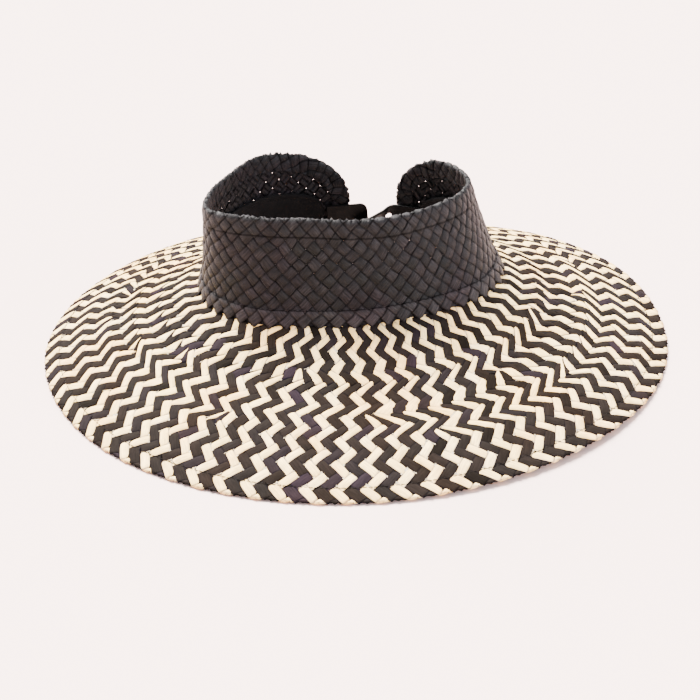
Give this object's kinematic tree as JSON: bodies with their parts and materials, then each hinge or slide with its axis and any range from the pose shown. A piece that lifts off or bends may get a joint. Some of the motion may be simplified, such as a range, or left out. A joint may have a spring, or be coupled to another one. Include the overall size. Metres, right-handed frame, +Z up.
{
  "type": "wide-brim straw sun visor",
  "caption": "Open-crown sun visor with a wide stiff zigzag-plaited straw brim, a black plaited band and a plastic snap strap open at the back.",
  "frame": {"origin": "middle of the space that the visor covers, on the surface that its brim rests on", "axes": "+Z up through the head opening, -Y towards the front of the brim, +Y towards the open back, +X to the right seen from the front"},
  "size_m": [0.398, 0.3868, 0.1117],
  "materials": {
    "straw_two_tone": "matt plaited straw strips in cream and dark brown",
    "straw_black": "matt dyed straw strips",
    "sweatband_cloth": "matt smooth cloth",
    "strap_plastic": "satin moulded plastic"
  },
  "bodies": {
    "root": {"brim": "straw_two_tone", "base_strip": "straw_black", "crown_band": "straw_black", "sweatband": "sweatband_cloth", "snap_strap_pegs": "strap_plastic", "snap_strap_holes": "strap_plastic"}
  },
  "joints": []
}
